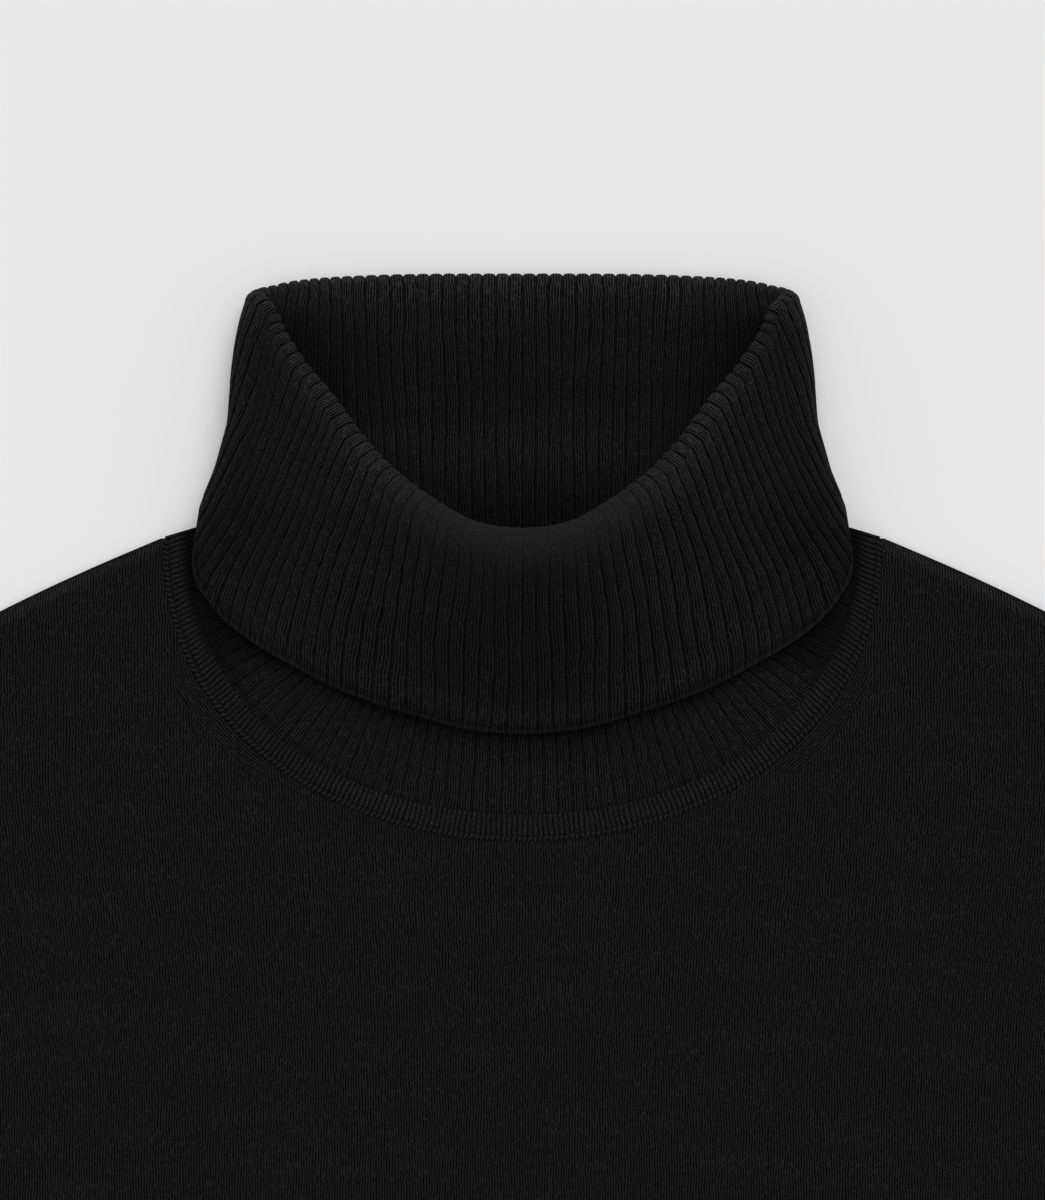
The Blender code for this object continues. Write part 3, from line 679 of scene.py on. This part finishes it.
def build_front_band():
    inner, outer = round_neck(*BAND_INNER, 0.06, 501), round_neck(*BAND_LINKED, 0.06, 501)
    degrees, run = inner[2], outer[3]
    rows, stitches = [], []
    for share, level in BAND_PROFILE:
        rows.append(between(inner, outer, share, level))
        stitches.append(side_by_side(run / BAND_WALE, -share * BAND_HEIGHT / BAND_COURSE))
    # painted shade on the inner edge, where the turned-down part stands over it
    fold_shade = ease((33.0 - from_shoulder(degrees)) / 14.0)
    painted_light = np.array([1.02 - 0.8 * fold_shade * (1.0 - ease(share / 0.5)) for share, _ in BAND_PROFILE])
    grid = np.array(rows)[::-1], np.array(stitches)[::-1], painted_light[::-1]
    band = lay_cloth("neck_band_knit", [grid], BAND_KNIT)
    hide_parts("neck_band_front")
    return band, run[-1] - run[0]


FRONT_BAND, band_run = build_front_band()

# The same for the back, from the table up over it and down to the table again
BACK_BAND_PROFILE = ((0.0, 0.1), (0.0, 1.6), (0.15, 2.0), (0.5, 2.0), (0.85, 1.9), (1.0, 1.6), (1.0, 0.1))


def build_back_band():
    place = np.linspace(-1.0, 1.0, 161)
    rise = np.abs(place) ** 2.6
    inner = 84.0 * place, -11.3 + 10.6 * rise
    outer = 93.9 * place, -17.1 + 14.7 * rise
    rows = [between(inner, outer, share, level) for share, level in BACK_BAND_PROFILE]
    stitches = [side_by_side(94.0 * place / BAND_WALE, -share * 5.0) for share, _ in BACK_BAND_PROFILE]
    grid = np.array(rows)[::-1], np.array(stitches)[::-1]
    band = lay_cloth("neck_band_back_knit", [grid], BAND_KNIT)
    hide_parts("neck_band_back")
    return band


BACK_BAND = build_back_band()

# ------------ linking stitch round the neck
# The chain of loops that joins the band to the body: small slanting loops of the same yarn, one to each
# wale of the band.

LOOP_PITCH = 1.4
LOOP_LEVEL = 4.4
# Half the length, width and height of a loop, and how much its length varies, in metres
LOOP_SIZE = (0.98e-3, 0.43e-3, 0.3e-3)
LOOP_UNEVEN = 0.14e-3
LOOP_SLANT = 62
LOOP_TILT = 8

# The edges of the sheet of painted shade in the gap under the loops, as for the band
GAP_INNER = (93.0, 2.05, 80.85)
GAP_OUTER = (94.7, 2.75, 82.5)
# Share of the way across the gap, from the body to the band, and its level there
GAP_PROFILE = ((0.0, 4.02), (0.25, 4.2), (0.5, 4.35), (0.75, 4.5), (1.0, 4.5))


def speckled_surface(name, scale, dark, pale, bump):
    """A matt wool surface with fine noise in place of stitches, used for yarn and for painted shade."""
    material = new_material(name)
    tree = material.node_tree
    spots = add_node(tree, "ShaderNodeTexCoord").outputs["Object"]
    speckle = add_node(tree, "ShaderNodeTexNoise", {"Vector": spots, "Scale": scale}).outputs[0]
    finish_wool(material, mix_colour(tree, speckle, grey(dark), grey(pale)), speckle, bump)
    return material


def build_linking():
    x, y, _, run = round_neck(*BAND_LINKED, 0.4, 801)
    loops = bmesh.new()
    for number in range(int((run[-1] - run[0]) / LOOP_PITCH)):
        at = run[0] + (number + 0.5) * LOOP_PITCH
        spot, ahead = [np.array([np.interp(here, run, x), np.interp(here, run, y)])
                       for here in (at, at + 0.3)]
        turn = math.atan2(*(ahead - spot)[::-1]) + math.radians(LOOP_SLANT + 8 * math.sin(1.7 * number))
        lift = 0.06 * math.sin(2.3 * number + 0.5)
        spin = Matrix.Rotation(turn, 4, "Z") @ Matrix.Rotation(math.radians(LOOP_TILT), 4, "Y")
        length = LOOP_SIZE[0] + LOOP_UNEVEN * math.sin(3.1 * number)
        size = Matrix.Diagonal((length, *LOOP_SIZE[1:], 1.0))
        level = (LOOP_LEVEL + lift) * 0.001
        place = Matrix.Translation((spot[0] * 0.001, (spot[1] - MIDDLE_Y) * 0.001, level))
        bmesh.ops.create_icosphere(loops, subdivisions=2, radius=1.0, matrix=place @ spin @ size)
    painted_light = loops.verts.layers.float.new("painted_light")
    for vert in loops.verts:
        vert[painted_light] = 1.0
    yarn = speckled_surface("linking yarn", 1900.0, 0.005, 0.015, 0.0002)
    linking = add_mesh("neck_linking", loops, yarn)
    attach(linking, "root")


def build_linking_gap_shade():
    """A dark sheet under the loops: painted shade in the gaps between them."""
    inner, outer = round_neck(*GAP_INNER, 0.3, 401), round_neck(*GAP_OUTER, 0.3, 401)
    run = inner[3]
    rows = [between(outer, inner, share, level) for share, level in GAP_PROFILE]
    stitches = [side_by_side(run / LOOP_PITCH, row) for row in range(len(GAP_PROFILE))]
    # painted shade: a near-black speckled sheet under the loops
    dark = speckled_surface("linking gap shade", 900.0, 0.0005, 0.005, 0.0001)
    lay_cloth("neck_linking_gap_shade", [(np.array(rows), np.array(stitches))], dark)


build_linking()
build_linking_gap_shade()

# ------------ front and back of the body
# Two panels of fine plain jersey, 12 gauge, knitted to shape. Where the front was narrowed beside the
# neckline, its wales are turned to run along the edge.

WALE = 1.57
COURSE = 1.18
HALF_NECK = 94.2
NECK_DROP = 2.4
NECK_DEPTH = 82.0
SHOULDER_SLOPE = 0.457
HALF_SHOULDER = 220.0
SHOULDER_END = -NECK_DROP - (HALF_SHOULDER - HALF_NECK) * SHOULDER_SLOPE
HALF_CHEST = 255.0
UNDERARM = -285.0
HALF_WAIST = 236.0
HEM_TOP = -620.0
PANEL_END = -619.7
FRONT_TOP = 4.0
PANEL_LOW = 1.3
# The wales turned to run beside the neckline: how wide they are, and from where to where in degrees
# from the shoulder
TURNED_WIDTH = 9.4
TURNED_FROM = 19.0
TURNED_TO = 49.0


def armhole_half(y):
    share = np.clip((SHOULDER_END - y) / (SHOULDER_END - UNDERARM), 0.0, 1.0)
    return HALF_SHOULDER - 20.0 * np.sin(math.pi * share ** 0.8) + (HALF_CHEST - HALF_SHOULDER) * share ** 4


def body_half(y):
    below = np.clip((UNDERARM - y) / (UNDERARM - HEM_TOP), 0.0, 1.0)
    side = HALF_CHEST - (HALF_CHEST - HALF_WAIST) * below ** 1.6
    shoulder = HALF_NECK + (-NECK_DROP - y) / SHOULDER_SLOPE
    # a little fuller beside the neck
    shoulder = shoulder + 2.0 * np.sin(math.pi * np.clip((shoulder - 88.0) / 60.0, 0.0, 1.0))
    return np.where(y > SHOULDER_END, shoulder, np.where(y > UNDERARM, armhole_half(y), side))


def front_neck_half(y):
    fall = np.clip((-NECK_DROP - y) / (NECK_DEPTH - NECK_DROP), 0.0, 1.0)
    return HALF_NECK * np.sqrt(1.0 - fall ** 2.25)


def back_neck_half(y):
    return HALF_NECK * np.clip((y + 17.4) / 15.0, 0.0, 1.0) ** (1.0 / 2.6)


def neck_distance(x, y):
    """Distance from the front neckline, and the length along it and the angle there."""
    angle = np.linspace(0.03, math.pi / 2, 300)
    curve_x, curve_y = neck_curve(HALF_NECK, NECK_DROP, NECK_DEPTH, angle)
    run = length_along(curve_x, curve_y)
    apart = np.hypot(x[..., None] - curve_x, y[..., None] - curve_y)
    nearest = apart.argmin(axis=-1)
    return apart.min(axis=-1), run[nearest], np.degrees(angle[nearest])


def jersey_material(name, turned_edges):
    """Plain jersey, and the turned wales beside the neckline where the mask is over a half."""
    material = new_material(name)
    tree = material.node_tree
    plain = use_group(tree, PLAIN_STITCHES, Stitch=stitch_numbers(tree))
    colour, height = plain["Color"], plain["Height"]
    if turned_edges:
        turned = use_group(tree, PLAIN_STITCHES, Stitch=stitch_numbers(tree, "turned stitches"))
        mask = map_range(tree, painted(tree, "mask"), 0.45, 0.55)
        colour = mix_colour(tree, mask, colour, turned["Color"])
        height = add_node(tree, "ShaderNodeMix", {0: mask, 2: height, 3: turned["Height"]}).outputs[0]
    finish_wool(material, colour, height, 0.00045)
    return material


FRONT_JERSEY = jersey_material("front jersey", True)
JERSEY = jersey_material("plain jersey", False)

# Soft troughs and ridges in the front where it was smoothed by hand: middle x and y, direction in
# degrees from across, half length, half width and height
FRONT_CREASES = (
    (-196, -232, 38, 60, 7, -1.35), (201, -250, 146, 52, 9, -1.05),
    (-120, -420, 8, 80, 11, 0.9), (140, -505, 171, 95, 8, 1.05),
    (-40, -560, 4, 70, 9, -0.9), (60, -330, 175, 60, 12, 0.6),
    (0, -150, 2, 60, 16, -0.38), (-84, -108, 40, 30, 9, -0.38),
    (92, -116, 142, 34, 10, -0.38),
)


def creased(x, y, creases):
    height = np.zeros_like(x)
    for mid_x, mid_y, degrees, length, width, depth in creases:
        angle = math.radians(degrees)
        along = (x - mid_x) * math.cos(angle) + (y - mid_y) * math.sin(angle)
        off = (y - mid_y) * math.cos(angle) - (x - mid_x) * math.sin(angle)
        off = off + 0.12 * width * np.sin(along / length * 4.0)
        height += depth * hump(along, 0.0, length, 4) * hump(off, 0.0, width)
    return height


def build_panel(name, node, levels, neck_half, columns, top, creases, material, neck=False):
    """A body panel: one grid for each half, with the outline's edge turned from `top` to the seam."""
    share = np.concatenate([np.linspace(0.0, 0.97, columns), [0.98, 0.988, 0.994, 0.998, 1.0, 1.0]])
    y = levels[:, None] + 0 * share
    x = neck_half(levels)[:, None] + (body_half(levels) - neck_half(levels))[:, None] * share
    # on the sloping shoulder the edge is less than half as far away as it is along x
    apart = (body_half(levels)[:, None] - x) * np.where(levels >= SHOULDER_END, 0.42, 1.0)[:, None]
    seamed = ((levels >= SHOULDER_END - 1.0) | (levels <= UNDERARM + 1.0))[:, None]
    turn = top - PANEL_LOW
    rounded = np.where(seamed, turn, 0.4 * np.sign(turn)) * (1.0 - ease(apart / 5.0)) ** 2
    # the wales lie closer together over the chest than beside the neck, and the courses dip at the sides
    bulge = ease((-60.0 - y) / 95.0)
    wale, course = x * (1.0 + 0.08 * bulge) / WALE, (y + 0.00042 * x ** 2) / COURSE
    grids = []
    outwards = int(np.sign(PANEL_LOW - top))
    for side in (-1, 1):
        z = top - rounded + creased(side * x, y, creases) * ease(apart / 12.0)
        z[:, -1] = PANEL_LOW
        order = (slice(None, None, outwards), slice(None, None, side))
        layers = [side_by_side(side * x, y, z), side_by_side(side * wale, course)]
        if neck:
            away, along, degrees = neck_distance(x, y)
            layers.append(1.0)
            layers.append(ease((degrees - TURNED_FROM) / 5.0) * ease((TURNED_TO - degrees) / 6.0)
                          * ease((TURNED_WIDTH - away) / 6.0))
            layers.append(side_by_side(side * away / WALE, along / COURSE))
        grids.append([layer if np.isscalar(layer) else layer[order] for layer in layers])
    panel = lay_cloth(name, grids, material, seam=0.00003)
    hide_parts(node)
    return panel


neck_angles = np.linspace(0.0, 1.0, 60) ** 1.6 * (math.pi / 2 - 0.0015) + 0.0015
front_levels = np.concatenate([neck_curve(HALF_NECK, NECK_DROP, NECK_DEPTH, neck_angles)[1],
                               np.arange(-85.0, PANEL_END, -3.0), [PANEL_END]])
FRONT = build_panel("front_jersey", "front", front_levels, front_neck_half, 84, FRONT_TOP, FRONT_CREASES,
                    FRONT_JERSEY, neck=True)

back_levels = np.concatenate([[-3.0, -4.5, -6.5, -9.0, -12.0, -14.5, -16.5, -17.4],
                              np.arange(-21.0, PANEL_END, -6.0), [PANEL_END]])
BACK = build_panel("back_jersey", "back", back_levels, back_neck_half, 30, 0.0, (), JERSEY)

# ------------ ribbed lower edge
# A band of two-wale ribbing 60 mm high, knitted on to the body all round and drawn in a little. It
# starts with a thin tubular edge.

HEM_END = -680.0
HEM_HEIGHT = 60.0
HALF_HEM = 225.0
HEM_RIBS = 124
HEM_LEVEL = 2.15
RIB_WALL = 2.0


def pressed_tube(first, last, first_out, last_out, level, bend, places, count):
    """Middle of a tube pressed flat, and the way out of it, on each ring at places round it.

    Places run from the middle of the first fold over the top layer and back under it: `count` of them
    to each layer and two to each fold.
    """
    def spot(ring):
        return np.concatenate([ring, np.zeros((len(ring), 1))], axis=-1)[:, None]

    up = np.array([0.0, 0.0, 1.0])
    start, end = spot(first - first_out * bend), spot(last - last_out * bend)
    share = np.clip(np.where(places < count + 2, places - 1, 2 * count + 3 - places) / count, 0.0, 1.0)
    angle = math.pi / 2 * (np.clip(places - 1 - count, 0.0, 2.0) + np.clip(places - 3 - 2 * count, 0.0, 1.0)
                           + np.clip(places, 0.0, 1.0))
    out = np.where((np.abs(places - count - 2) < count / 2)[:, None], spot(last_out), spot(first_out))
    lean = np.abs(np.cos(angle))[:, None]
    rise = np.sqrt(1.0 - lean ** 2) * np.where(places < count + 2, 1.0, -1.0)[:, None]
    way = out * lean + up * rise
    middle = start + (end - start) * share[:, None] + up * level + way * bend
    return middle, way, share


def rib_places(count):
    places = np.array([number + across + 0.5 for number in range(2 * count + 4)
                       for across in ACROSS_RIB[::2]])
    return np.append(places, 2 * count + 4.0)


def ribbed_tube(tube, places, count, from_edge, sunk):
    """Places on a ribbed tube pressed flat, its ribs lower underneath and gone along its tubular edge."""
    middle, way, _ = tube
    relief = np.where(places > count + 3, 0.0, RIB_CREST) - RIB_DEPTH * groove_share(places - 1.5) ** 4
    fade = np.clip(from_edge / 1.2, 0.0, 1.0)[:, None]
    height = RIB_WALL / 2 + relief * fade - sunk[:, None]
    points = middle + way * height[..., None]
    points[..., 2] = np.maximum(points[..., 2], 0.0)
    return points


def build_hem():
    rows = np.concatenate([[0.9, 0.35, 0.0, 0.0, 0.4, 1.0, 2.0], np.linspace(5.0, HEM_HEIGHT, 12)])
    sunk = np.concatenate([[1.9, 1.5, 0.9, 0.5, 0.15], np.zeros(len(rows) - 5)])
    y = HEM_END + rows
    half = HALF_HEM + 11.0 * (rows / HEM_HEIGHT) ** 0.7
    places = rib_places(HEM_RIBS)
    tube = pressed_tube(side_by_side(-half, y), side_by_side(half, y), side_by_side(-1.0, 0 * y),
                        side_by_side(1.0, 0 * y), HEM_LEVEL, HEM_LEVEL - RIB_WALL / 2, places, HEM_RIBS)
    points = ribbed_tube(tube, places, HEM_RIBS, rows, sunk)
    stitches = side_by_side(2 * (places - 1.5), (rows / COLLAR_COURSE)[:, None])
    hem = lay_cloth("hem_ribbing", [(points, stitches)], RIB_KNIT, seam=0.00003)
    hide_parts("hem_front", "hem_back")
    return hem


HEM = build_hem()

# ------------ sleeves
# Each sleeve is knitted to shape in plain jersey, about 650 mm along its outer fold with the cuff, and
# closed by a seam along the underarm.

SLEEVE_LEAN = math.radians(25.0)
HALF_BICEP = 87.5
HALF_WRIST = 50.0
UNDERARM_LENGTH = 355.0
SLEEVE_BEND = 1.3
SLEEVE_STEPS = 56
JERSEY_WALL = 1.4
along = np.array([math.sin(SLEEVE_LEAN), -math.cos(SLEEVE_LEAN)])
across = np.array([math.cos(SLEEVE_LEAN), math.sin(SLEEVE_LEAN)])
underarm = np.array([HALF_CHEST + 1.4, UNDERARM - 0.9])
shoulder = np.array([HALF_SHOULDER + 1.3, SHOULDER_END - 0.4])
wrist = underarm + across * HALF_BICEP + along * UNDERARM_LENGTH

# As for the front, with the left sleeve at +X
SLEEVE_CREASES = {
    "left": ((300, -215, 118, 58, 9, -1.6), (330, -300, 96, 60, 10, 1.8),
             (362, -330, 130, 70, 9, 1.6), (420, -455, 112, 60, 8, -1.6),
             (404, -520, 150, 40, 8, 1.4)),
    "right": ((-296, -232, 66, 52, 10, -1.6), (-322, -286, 88, 64, 9, 1.8),
              (-371, -352, 44, 58, 10, 1.4), (-398, -430, 72, 66, 8, -1.8),
              (-430, -540, 30, 36, 7, 1.6)),
}


def build_sleeve(word, side):
    t = np.concatenate([[0.0, 0.0, 0.003, 0.007, 0.012, 0.02], np.linspace(0.03, 0.99, 66),
                        [0.996, 1.0, 1.0]])[:, None]
    # both ends are thinner where they meet their neighbours
    sunk = np.interp(t[:, 0], [0.0, 0.003, 0.008, 0.99, 1.0], [0.8, 0.35, 0.0, 0.0, 0.5])
    sunk[[0, -1]] = 1.6, 1.4
    wrist_in, wrist_out = wrist - across * HALF_WRIST, wrist + across * HALF_WRIST
    slope = np.array([1.0, -SHOULDER_SLOPE]) / math.hypot(1.0, SHOULDER_SLOPE)
    bends = shoulder, shoulder + slope * 150.0, wrist_out - along * 330.0, wrist_out
    weights = (1 - t) ** 3, 3 * t * (1 - t) ** 2, 3 * t * t * (1 - t), t ** 3
    outer = sum(bend * weight for bend, weight in zip(bends, weights))
    run = np.gradient(outer, axis=0)
    run[:2], run[-2:] = run[2], run[-3]
    outer_out = unit(side_by_side(-run[:, 1], run[:, 0]))
    inner = underarm + (wrist_in - underarm) * t
    straight = unit(wrist_in - underarm)
    inner_out = np.broadcast_to(np.array([straight[1], -straight[0]]), inner.shape)
    places = np.arange(0.0, 117.5, 0.5)
    middle, way, share = pressed_tube(inner, outer, inner_out, outer_out, SLEEVE_BEND + JERSEY_WALL / 2,
                                      SLEEVE_BEND, places, SLEEVE_STEPS)
    # the first ring is bowed like the armhole and starts under the body
    y = UNDERARM + share * (SHOULDER_END - UNDERARM)
    seam = side_by_side(armhole_half(y) + 0.42, y)
    bow = seam - (seam[0] + (seam[places == SLEEVE_STEPS + 1][0] - seam[0]) * share[:, None])
    middle[..., :2] += bow * np.maximum(1.0 - t / (0.1 + 0.6 * share), 0.0)[..., None] ** 2
    middle[0, :, 0] -= 3.0
    middle[..., 0] *= side
    way = way * (side, 1.0, 1.0)
    points = middle + way * JERSEY_WALL / 2
    points[..., 2] -= sunk[:, None] * way[..., 2]
    on_top = places < SLEEVE_STEPS + 2
    flat = ease(np.minimum(share, 1.0 - share) * 12.0) * on_top * ease(np.minimum(t, 1.0 - t) * 12.0)
    points[..., 2] += creased(points[..., 0], points[..., 1], SLEEVE_CREASES[word]) * flat
    from_fold = middle[..., :2] * (side, 1.0) - wrist_out
    wale = from_fold @ across
    fold_at = ((outer - wrist_out) @ across)[:, None]
    wale = np.where(on_top, wale, 2 * fold_at - wale)
    stitches = side_by_side(wale / WALE, from_fold @ along / -COURSE)
    order = slice(None, None, -side)
    sleeve = lay_cloth("sleeve_" + word + "_jersey", [(points[order], stitches[order])], JERSEY,
                       seam=0.00003)
    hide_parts("sleeve_" + word)
    return sleeve


SLEEVES = [build_sleeve("left", 1), build_sleeve("right", -1)]

# ------------ cuffs
# Ribbed like the lower edge, with the same tubular edge at the end. Laid flat, each is 65 mm long and
# 85 mm wide.

HALF_CUFF = 42.5
CUFF_RIBS = 24
CUFF_BEND = 1.65
CUFF_LENGTH = 65.0


def build_cuff(word, side):
    distance = np.concatenate([[0.3, 0.3, 0.8], np.linspace(2.0, 63.0, 16),
                               [64.0, 64.6, 65.0, 65.0, 64.65, 64.1]])
    sunk = np.concatenate([[1.8, 0.8, 0.3], np.zeros(16), [0.15, 0.5, 0.9, 1.5, 1.9, 2.2]])
    half = HALF_CUFF + 3.0 * (1.0 - ease(distance / 14.0))
    centre = wrist + along * distance[:, None]
    reach = across * half[:, None]
    out = np.broadcast_to(across, centre.shape)
    places = rib_places(CUFF_RIBS)
    tube = pressed_tube(centre - reach, centre + reach, -out, out, CUFF_BEND + RIB_WALL / 2, CUFF_BEND,
                        places, CUFF_RIBS)
    points = ribbed_tube(tube, places, CUFF_RIBS, CUFF_LENGTH - distance, sunk) * (side, 1.0, 1.0)
    stitches = side_by_side(2 * (places - 1.5), (-distance / COLLAR_COURSE)[:, None])
    order = slice(None, None, -side)
    cuff = lay_cloth("cuff_" + word + "_ribbing", [(points[order], stitches[order])], RIB_KNIT,
                     seam=0.00003)
    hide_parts("cuff_" + word)
    return cuff


CUFFS = [build_cuff("left", 1), build_cuff("right", -1)]

# ------------ floor, light and camera
# A plain pale table under the sweater, soft light from all round with more from a window beyond the
# neck, and a camera straight above.

table_top = new_material("pale table")
set_inputs(table_top.node_tree, table_top.node_tree.nodes["Principled BSDF"],
           {"Base Color": grey(0.8), "Roughness": 1.0, "Specular IOR Level": 0.0})
board = bmesh.new()
bmesh.ops.create_grid(board, x_segments=1, y_segments=1, size=4.0)
table = add_mesh("table", board, table_top)
table.location.z = -0.0002

scene = bpy.context.scene
world = bpy.data.worlds.new("soft room")
world.use_nodes = True
set_inputs(world.node_tree, world.node_tree.nodes["Background"], {"Color": grey(1.0), "Strength": 0.5})
scene.world = world

lamp = bpy.data.lights.new("window", "SUN")
lamp.energy = 2.15
lamp.angle = math.radians(50.0)
window = add_object("window", lamp)
window.location = (0.2, 1.5, 1.1)
window.rotation_euler = Vector((-0.22, -1.0, -1.15)).to_track_quat("-Z", "Y").to_euler()

# In metres: the camera's distance, and the middle and height of what it sees
DISTANCE = 1.2
VIEW_MIDDLE = 0.2874
VIEW_HEIGHT = 0.3158
SENSOR = 24.0
lens = bpy.data.cameras.new("camera")
lens.sensor_fit = "VERTICAL"
lens.sensor_height = SENSOR
lens.lens = SENSOR * DISTANCE / VIEW_HEIGHT
camera = add_object("camera", lens)
camera.location = (0.0, VIEW_MIDDLE, DISTANCE + 0.005)
scene.camera = camera
scene.view_settings.view_transform = "Standard"
